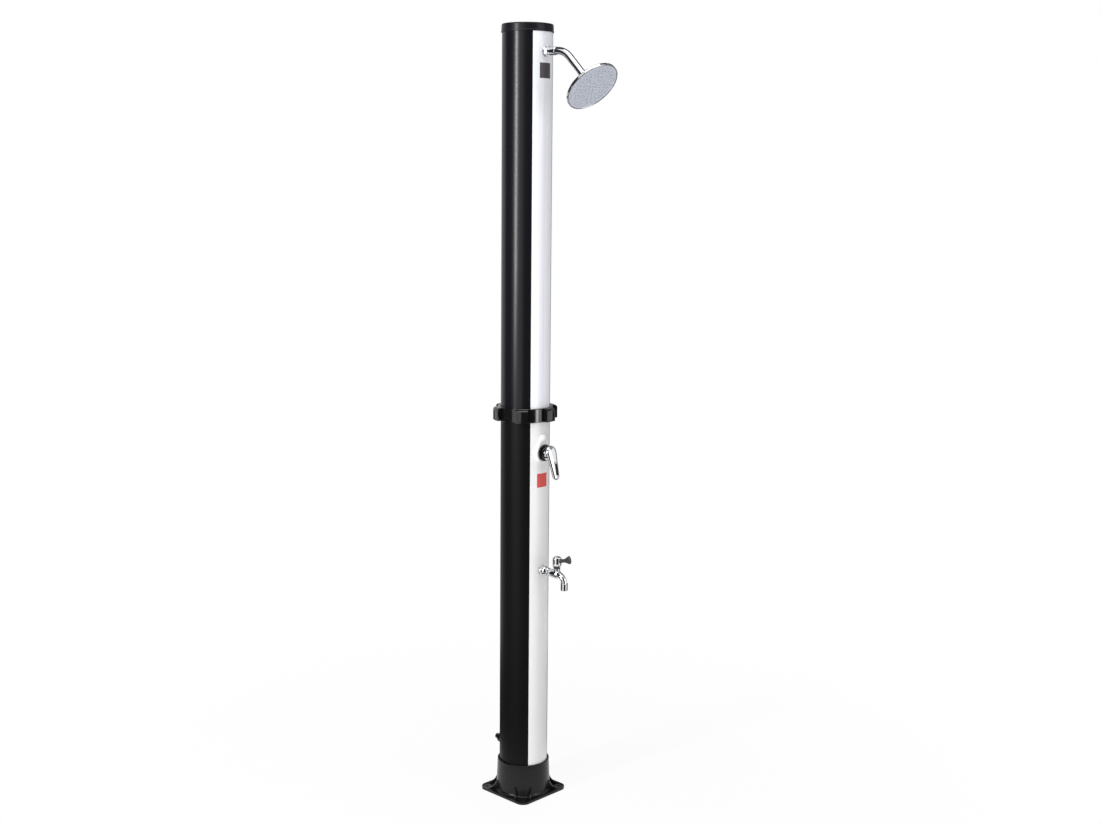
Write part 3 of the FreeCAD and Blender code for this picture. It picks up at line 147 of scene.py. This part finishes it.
def make_materials():
    made = {
        # the tubes, the strips and the mouldings
        "tube_upper": Surface("satin_black_upper", (0.0058, 0.0055, 0.0080), 0.25,
                              Specular_IOR_Level=0.28)
        .vary_roughness(0.04, 30, ALONG).bump(0.00002, 500, ALONG).bump(0.0002, 9, DRAWN),
        "tube_lower": Surface("matt_black_lower", (0.0046, 0.0040, 0.0044), 0.38,
                              Specular_IOR_Level=0.12)
        .vary_roughness(0.05, 30, ALONG).bump(0.00003, 500, ALONG).bump(0.0003, 9, DRAWN),
        "strip_upper": Surface("white_strip_upper", (0.86, 0.87, 0.92), 0.28)
        .vary_colour(0.012, 8, ALONG).vary_roughness(0.04, 60, ALONG).bump(0.00002, 400, ALONG),
        "strip_lower": Surface("white_strip_lower", (0.79, 0.785, 0.79), 0.34)
        .vary_colour(0.015, 8, ALONG).vary_roughness(0.05, 60, ALONG).bump(0.00002, 400, ALONG),
        "saddle": Surface("white_moulding", (0.83, 0.83, 0.835), 0.30)
        .vary_colour(0.01, 40).vary_roughness(0.04, 90).bump(0.00002, 900),
        "moulding": Surface("satin_black_moulding", (0.019, 0.018, 0.019), 0.36,
                            Specular_IOR_Level=0.40)
        .vary_roughness(0.06, 60).bump(0.00004, 1400, detail=1.0).bump(0.0003, 25),
        "cap": Surface("satin_black_cap", (0.0080, 0.0078, 0.0115), 0.32,
                       Specular_IOR_Level=0.24)
        .vary_roughness(0.05, 60).bump(0.00003, 1400, detail=1.0).bump(0.0002, 25),
        "foot": Surface("satin_black_foot", (0.0075, 0.0072, 0.0080), 0.25,
                        Specular_IOR_Level=0.26)
        .vary_roughness(0.06, 60).bump(0.00003, 1400, detail=1.0).bump(0.0004, 30),

        # the fittings
        "gloss": Surface("polished_black", (0.005, 0.005, 0.0055), 0.12,
                         Specular_IOR_Level=0.75)
        .vary_roughness(0.03, 70).bump(0.00006, 60),
        "handle": Surface("satin_black_handle", (0.040, 0.039, 0.043), 0.34,
                          Specular_IOR_Level=0.5)
        .vary_colour(0.04, 200).vary_roughness(0.05, 90).bump(0.00003, 1200),
        "chrome": Surface("polished_chrome", (0.80, 0.81, 0.83), 0.06, metallic=1.0)
        .vary_roughness(0.015, 120).bump(0.000004, 70),
        "shell": Surface("chromed_plastic", (0.66, 0.67, 0.69), 0.10, metallic=1.0)
        .vary_roughness(0.02, 120).bump(0.000004, 70),
        "face": Surface("blue_grey_face", (0.54, 0.57, 0.655), 0.38)
        .vary_colour(0.03, 60).vary_roughness(0.05, 90).bump(0.00004, 1200),
        "nozzle": Surface("grey_rubber", (0.46, 0.49, 0.55), 0.5)
        .vary_colour(0.03, 300).vary_roughness(0.05, 300).bump(0.00003, 900),

        # what is inside
        "rubber": Surface("black_rubber", (0.012, 0.012, 0.012), 0.62)
        .vary_roughness(0.06, 200).bump(0.00005, 800),
        "brass": Surface("machined_brass", (0.72, 0.52, 0.22), 0.24, metallic=1.0)
        .vary_roughness(0.05, 300).bump(0.00004, 500),
        "steel": Surface("stainless", (0.6, 0.6, 0.6), 0.26, metallic=1.0)
        .vary_roughness(0.05, 300).bump(0.00003, 500),
        "acetal": Surface("natural_acetal", (0.78, 0.78, 0.75), 0.36)
        .vary_roughness(0.05, 200).bump(0.00003, 900),
        "pipe": Surface("natural_pipe", (0.62, 0.63, 0.65), 0.4)
        .vary_roughness(0.05, 200, ALONG).bump(0.00003, 500, ALONG),

        # the blank labels
        "red_label": Surface("plain_red_label", (0.65, 0.060, 0.052), 0.38)
        .vary_colour(0.05, 300).vary_roughness(0.05, 200).bump(0.00002, 900),
        "dark_label": Surface("plain_dark_label", (0.060, 0.050, 0.058), 0.36)
        .vary_colour(0.08, 300).vary_roughness(0.05, 200).bump(0.00002, 900),
        "label_edge": Surface("pale_label_edge", (0.84, 0.83, 0.83), 0.4)
        .vary_colour(0.03, 300).vary_roughness(0.05, 200).bump(0.00002, 900),
    }
    return {name: surface.material for name, surface in made.items()}


M = make_materials()

NODE_MATERIALS = {
    "tube_upper": ["upper_tube"],
    "tube_lower": ["lower_tube"],
    "strip_upper": ["upper_front_strip"],
    "strip_lower": ["lower_front_strip"],
    "saddle": ["mixer_saddle"],
    "cap": ["top_cap"],
    "moulding": ["bottom_plug", "lower_coupling", "upper_coupling", "drain_plug"],
    "foot": ["base_flange"],
    "gloss": ["ring_nut", "cartridge_cover", "mixer_ring_nut", "hose_nipple", "inlet_fitting"],
    "handle": ["tap_handle"],
    "chrome": ["shower_arm", "arm_rosette", "arm_nut", "swivel_ball", "ball_nut",
               "mixer_lever", "tap_rosette", "tap_body", "tap_nozzle", "tap_cap"],
    "shell": ["head_shell"],
    "face": ["head_face"],
    "nozzle": ["head_nozzles"],
    "rubber": ["coupling_oring", "drain_seal", "inlet_gasket"],
    "brass": ["mixer_body", "arm_elbow", "tap_tee", "arm_backnut", "tap_backnut",
              "inlet_backnut", "tap_spindle", "lever_stem"],
    "steel": ["lever_screw", "tap_handle_screw"],
    "acetal": ["ball_seat", "mixer_cartridge", "cartridge_rotor"],
    "pipe": ["cold_lower_pipe", "cold_upper_pipe", "hot_pipe", "riser_pipe"],
}


def dress_nodes():
    for material, names in NODE_MATERIALS.items():
        for name in names:
            for slot in NODES[name].material_slots:
                slot.material = M[material]


# ---------------------------------------------------------------------------------------------
# Blank labels on the strip
# ---------------------------------------------------------------------------------------------

LABEL_COLUMNS = 28             # steps across a label's straight part
CORNER_STEPS = 8               # steps round each rounded corner
LABEL_DEPTH = 0.05 * MM        # how far a label reaches into the strip
LABELS = (                     # name, height, width, tall, corner, how far proud, material
    ("label_upper_edge", 2.046, 43 * MM, 44 * MM, 2 * MM, 0.10 * MM, "label_edge"),
    ("label_upper", 2.046, 39.4 * MM, 40.4 * MM, 1 * MM, 0.14 * MM, "dark_label"),
    ("label_lower_edge", 0.930, 40 * MM, 41 * MM, 2 * MM, 0.10 * MM, "label_edge"),
    ("label_lower", 0.930, 38.4 * MM, 39.4 * MM, 1 * MM, 0.14 * MM, "red_label"),
)


def label(name, height, width, tall, corner, proud, material):
    """A thin patch with rounded corners that lies on the strip's curve, at the front's middle."""
    outer = STRIP_RADIUS + proud
    inner = STRIP_RADIUS - LABEL_DEPTH
    flat = width / 2 - corner
    stops = set()
    for step in range(LABEL_COLUMNS + 1):
        stops.add(-flat + 2 * flat * step / LABEL_COLUMNS)
    for step in range(1, CORNER_STEPS + 1):
        along = corner * math.sin(math.radians(90 * step / CORNER_STEPS))
        stops.update((flat + along, -flat - along))
    verts, faces = [], []
    for across in sorted(stops):
        past = max(abs(across) - flat, 0)
        rise = tall / 2 - corner + math.sqrt(max(corner ** 2 - past ** 2, 0))
        angle = across / STRIP_RADIUS
        for radius in (outer, inner):
            for sign in (-1, 1):
                verts.append((radius * math.sin(angle), -radius * math.cos(angle),
                              height + sign * rise))
    for column in range(len(stops) - 1):
        a, b = 4 * column, 4 * column + 4
        faces += [(a, b, b + 1, a + 1), (a + 1, b + 1, b + 3, a + 3), (b, a, a + 2, b + 2),
                  (a + 2, a + 3, b + 3, b + 2)]
    last = 4 * (len(stops) - 1)
    faces += [(0, 1, 3, 2), (last + 1, last, last + 2, last + 3)]
    piece = new_object(name, verts, faces, M[material])
    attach(piece, "post")
    return smooth(piece)


# ---------------------------------------------------------------------------------------------
# Tap handle
# ---------------------------------------------------------------------------------------------

HANDLE_ROOT = (0, -128.5 * MM, 707.5 * MM)     # where its axis meets the tap's upright axis
HANDLE_RISE = 15.0             # slope of the handle's axis above level, in degrees
HANDLE_SPOKES = 36             # corners round each section
HANDLE_SQUARENESS = 2.6        # 2 makes the sections elliptical, and more makes them boxier
HANDLE_ROUNDING = 2            # subdivision levels
HANDLE_OUTLINE = (             # reach, top, underside and half thickness, in millimetres
    (9.0, 6.0, -6.0, 4.5), (14.0, 5.9, -5.9, 4.5), (20.0, 5.4, -5.4, 4.5),
    (26.0, 4.9, -5.0, 4.5), (31.0, 5.1, -5.3, 4.5), (36.0, 6.4, -6.7, 4.4),
    (40.5, 8.4, -8.7, 4.3), (44.5, 10.3, -10.5, 4.1), (47.5, 11.5, -11.3, 3.9),
    (49.8, 12.0, -11.0, 3.6), (51.4, 11.6, -10.0, 3.3), (52.9, 9.8, -8.3, 2.9),
    (54.0, 7.2, -6.1, 2.4), (54.7, 4.4, -3.9, 1.7), (55.0, 2.0, -1.9, 0.9))


def squared(value):
    """A sine or cosine pushed outwards, which turns an ellipse into a rounded box."""
    return math.copysign(abs(value) ** (2 / HANDLE_SQUARENESS), value)


def make_tap_handle():
    """The fishtail handle: the CAD blade with its fins and its end rounded over."""
    verts, faces = [], []
    for reach, top, under, thick in HANDLE_OUTLINE:
        for spoke in range(HANDLE_SPOKES):
            angle = math.tau * spoke / HANDLE_SPOKES
            across, rise = squared(math.cos(angle)), squared(math.sin(angle))
            verts.append((reach * MM, across * thick * MM,
                          (rise * (top - under) + top + under) / 2 * MM))
    for ring in range(len(HANDLE_OUTLINE) - 1):
        start = ring * HANDLE_SPOKES
        for spoke in range(HANDLE_SPOKES):
            a, b = start + spoke, start + (spoke + 1) % HANDLE_SPOKES
            faces.append((a, b, b + HANDLE_SPOKES, a + HANDLE_SPOKES))
    faces.append(tuple(range(HANDLE_SPOKES))[::-1])
    faces.append(tuple(range(len(verts) - HANDLE_SPOKES, len(verts))))
    piece = new_object("fishtail_handle", verts, faces, M["handle"])
    seat = (Matrix.Translation(HANDLE_ROOT) @ Matrix.Rotation(math.radians(-90), 4, "Z")
            @ Matrix.Rotation(math.radians(-HANDLE_RISE), 4, "Y"))
    piece.data.transform(seat)
    rounding = piece.modifiers.new("rounding", "SUBSURF")
    rounding.levels = rounding.render_levels = HANDLE_ROUNDING
    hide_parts("tap_handle")
    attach(piece, "tap_top")
    return smooth(piece, angle=60)


# ---------------------------------------------------------------------------------------------
# Camera
# ---------------------------------------------------------------------------------------------

FACING = -45.0                 # the camera's bearing: the front points 45 degrees to its right
CAMERA_DISTANCE = 4.0023
CAMERA_HEIGHT = 1.7699
CAMERA_PITCH = 0.1622          # radians below level
CAMERA_ROLL = 0.0088           # radians
CAMERA_YAW = -0.0173           # radians
CAMERA_LENS = 47.32            # millimetres
SENSOR = 36.0                  # millimetres
CLIP_START, CLIP_END = 0.05, 100


def make_camera():
    pitch, yaw, roll = CAMERA_PITCH, CAMERA_YAW, CAMERA_ROLL
    ahead = Vector((-math.sin(yaw) * math.cos(pitch), math.cos(yaw) * math.cos(pitch),
                    -math.sin(pitch)))
    level = Vector((math.cos(yaw), math.sin(yaw), 0))
    above = level.cross(ahead)
    right = math.cos(roll) * level + math.sin(roll) * above
    up = -math.sin(roll) * level + math.cos(roll) * above
    pose = Matrix((
        (right.x, up.x, -ahead.x, 0),
        (right.y, up.y, -ahead.y, -CAMERA_DISTANCE),
        (right.z, up.z, -ahead.z, CAMERA_HEIGHT),
        (0, 0, 0, 1)))
    data = bpy.data.cameras.new("camera")
    data.lens = CAMERA_LENS
    data.sensor_fit = "HORIZONTAL"
    data.sensor_width = SENSOR
    data.clip_start, data.clip_end = CLIP_START, CLIP_END
    camera = bpy.data.objects.new("camera", data)
    bpy.context.scene.collection.objects.link(camera)
    camera.matrix_world = Matrix.Rotation(math.radians(FACING), 4, "Z") @ pose
    bpy.context.scene.camera = camera


# ---------------------------------------------------------------------------------------------
# Light, floor and backdrop. Bearings run from the camera's side, positive to the right.
# ---------------------------------------------------------------------------------------------

LAMPS = (                      # name, bearing, elevation, distance, size, radiance, aim's height
    ("key", -49.5, 8, 3.2, (0.24, 1.8), 55.0, 1.5),
    ("wash", -20, 10, 3.6, (2.4, 2.8), 1.75, 1.1),
    ("fill", 60, 10, 3.6, (1.8, 2.6), 1.2, 1.1),
    ("back", 165, 12, 3.6, (1.8, 2.6), 1.4, 1.1),
    ("top", 0, 75, 3.2, (2.0, 2.0), 1.5, 1.1),
    ("glint", 50, 0, 3.2, (0.6, 1.0), 4.7, 0.7),
)
BOARDS = (                     # name, first and last bearing, two edges as (radius, height), shade
    ("board_left", -112, -54, ((1.5, 0.02), (1.5, 2.9)), 0.03),
    ("board_front", -15, 40, ((1.5, 0.02), (1.5, 2.9)), 0.03),
    ("board_side", -180, -116, ((1.5, 0.02), (1.5, 2.3)), 0.75),
    ("board_back", 110, 180, ((1.8, 0.02), (1.8, 2.4)), 0.3),
    ("board_right", 74, 108, ((1.5, 1.7), (1.5, 2.9)), 0.3),
    ("board_right_low", 74, 108, ((1.5, 0.02), (1.5, 0.5)), 0.2),
    ("board_low", -180, 180, ((0.35, 0.012), (1.25, 0.012)), 0.08),
    ("board_side_high", -180, -90, ((1.5, 2.42), (1.7, 3.6)), 0.06),
    ("board_back_high", 105, 180, ((1.8, 2.42), (1.8, 3.6)), 0.10),
    ("board_high", 90, 270, ((0.4, 3.7), (1.8, 3.7)), 0.06),
)
BOARD_STEPS = 24               # flat pieces that a board is bent into
AMBIENT = 0.48                 # the world's level in the light that falls on the object
FLOOR_RADIUS = 14.0
FLOOR_SIDES = 64
FLOOR_LEVEL = -0.3 * MM        # just under the foot
FLOOR_SHADE = 0.9
FLOOR_ROUGHNESS = 0.9
FADE_START, FADE_END = 0.35, 1.6      # where the floor's fade into the backdrop starts and ends
GLOW_NEAR, GLOW_FAR = 0.9, 1.0        # share of white in the floor at those two distances


def make_lamp(name, bearing, elevation, distance, size, radiance, aim_height):
    """A softbox that stands at a bearing and elevation and is aimed at the post's axis."""
    data = bpy.data.lights.new(name, "AREA")
    data.shape = "RECTANGLE"
    data.size, data.size_y = size
    data.energy = radiance * math.pi * size[0] * size[1]
    lamp = bpy.data.objects.new(name, data)
    bpy.context.scene.collection.objects.link(lamp)
    turn, rise = math.radians(FACING + bearing), math.radians(elevation)
    away = Vector((math.sin(turn) * math.cos(rise), -math.cos(turn) * math.cos(rise),
                   math.sin(rise)))
    lamp.location = Vector((0, 0, aim_height)) + away * distance
    lamp.rotation_euler = (-away).to_track_quat("-Z", "Y").to_euler()
    return lamp


def make_lamps():
    lamps = {row[0]: make_lamp(*row) for row in LAMPS}
    lamps["wash"].visible_glossy = False        # evens out the tones and leaves no glint
    lamps["glint"].visible_diffuse = False      # shows only in reflections


def make_board(name, start, end, edges, shade):
    """A studio board bent round the post, which only reflections show."""
    material = bpy.data.materials.new(name)
    material.use_nodes = True
    nodes, links = material.node_tree.nodes, material.node_tree.links
    glow = new_node(nodes, "ShaderNodeEmission", Color=grey(shade))
    links.new(glow.outputs["Emission"], nodes["Material Output"].inputs["Surface"])
    verts = []
    for step in range(BOARD_STEPS + 1):
        turn = math.radians(FACING + start + (end - start) * step / BOARD_STEPS)
        for radius, height in edges:
            verts.append((radius * math.sin(turn), -radius * math.cos(turn), height))
    faces = [(2 * i, 2 * i + 2, 2 * i + 3, 2 * i + 1) for i in range(BOARD_STEPS)]
    board = new_object(name, verts, faces, material)
    for ray in ("camera", "diffuse", "transmission", "volume_scatter", "shadow"):
        setattr(board, f"visible_{ray}", False)


def camera_or_shiny(nodes, links):
    """1 on what the camera sees, directly, mirrored or through glass."""
    path = nodes.new("ShaderNodeLightPath")
    total = path.outputs["Is Camera Ray"]
    for ray in ("Is Glossy Ray", "Is Transmission Ray"):
        most = nodes.new("ShaderNodeMath")
        most.operation = "MAXIMUM"
        links.new(total, most.inputs[0])
        links.new(path.outputs[ray], most.inputs[1])
        total = most.outputs["Value"]
    return total


def make_world():
    """White where the camera or a reflection looks, and a soft ambient level as light."""
    world = bpy.data.worlds.new("studio")
    bpy.context.scene.world = world
    world.use_nodes = True
    nodes, links = world.node_tree.nodes, world.node_tree.links
    ambient = nodes["Background"]
    set_inputs(ambient, Color=grey(AMBIENT))
    backdrop = new_node(nodes, "ShaderNodeBackground", Color=grey(1))
    mix = nodes.new("ShaderNodeMixShader")
    links.new(camera_or_shiny(nodes, links), mix.inputs["Fac"])
    links.new(ambient.outputs["Background"], mix.inputs[1])
    links.new(backdrop.outputs["Background"], mix.inputs[2])
    links.new(mix.outputs["Shader"], nodes["World Output"].inputs["Surface"])


def make_floor():
    """A pale floor that takes the post's shadow and fades into the white backdrop further out."""
    material = bpy.data.materials.new("studio_floor")
    material.use_nodes = True
    nodes, links = material.node_tree.nodes, material.node_tree.links
    shader = nodes["Principled BSDF"]
    set_inputs(shader, Base_Color=grey(FLOOR_SHADE), Roughness=FLOOR_ROUGHNESS)
    glow = new_node(nodes, "ShaderNodeEmission", Color=grey(1))
    place = nodes.new("ShaderNodeTexCoord")
    away = nodes.new("ShaderNodeVectorMath")
    away.operation = "LENGTH"
    fade = new_node(nodes, "ShaderNodeMapRange", From_Min=FADE_START, From_Max=FADE_END,
                    To_Min=GLOW_NEAR, To_Max=GLOW_FAR)
    share = nodes.new("ShaderNodeMath")
    share.operation = "MULTIPLY"
    mix = nodes.new("ShaderNodeMixShader")
    links.new(place.outputs["Object"], away.inputs[0])
    links.new(away.outputs["Value"], fade.inputs["Value"])
    links.new(fade.outputs["Result"], share.inputs[0])
    links.new(camera_or_shiny(nodes, links), share.inputs[1])
    links.new(share.outputs["Value"], mix.inputs["Fac"])
    links.new(shader.outputs["BSDF"], mix.inputs[1])
    links.new(glow.outputs["Emission"], mix.inputs[2])
    links.new(mix.outputs["Shader"], nodes["Material Output"].inputs["Surface"])
    rim = []
    for side in range(FLOOR_SIDES):
        turn = math.tau * side / FLOOR_SIDES
        rim.append((FLOOR_RADIUS * math.cos(turn), FLOOR_RADIUS * math.sin(turn), FLOOR_LEVEL))
    floor = new_object("floor", rim, [tuple(range(FLOOR_SIDES))], material)


dress_nodes()
for row in LABELS:
    label(*row)
make_tap_handle()
make_camera()
make_lamps()
for row in BOARDS:
    make_board(*row)
make_world()
make_floor()
bpy.context.scene.view_settings.view_transform = "Standard"
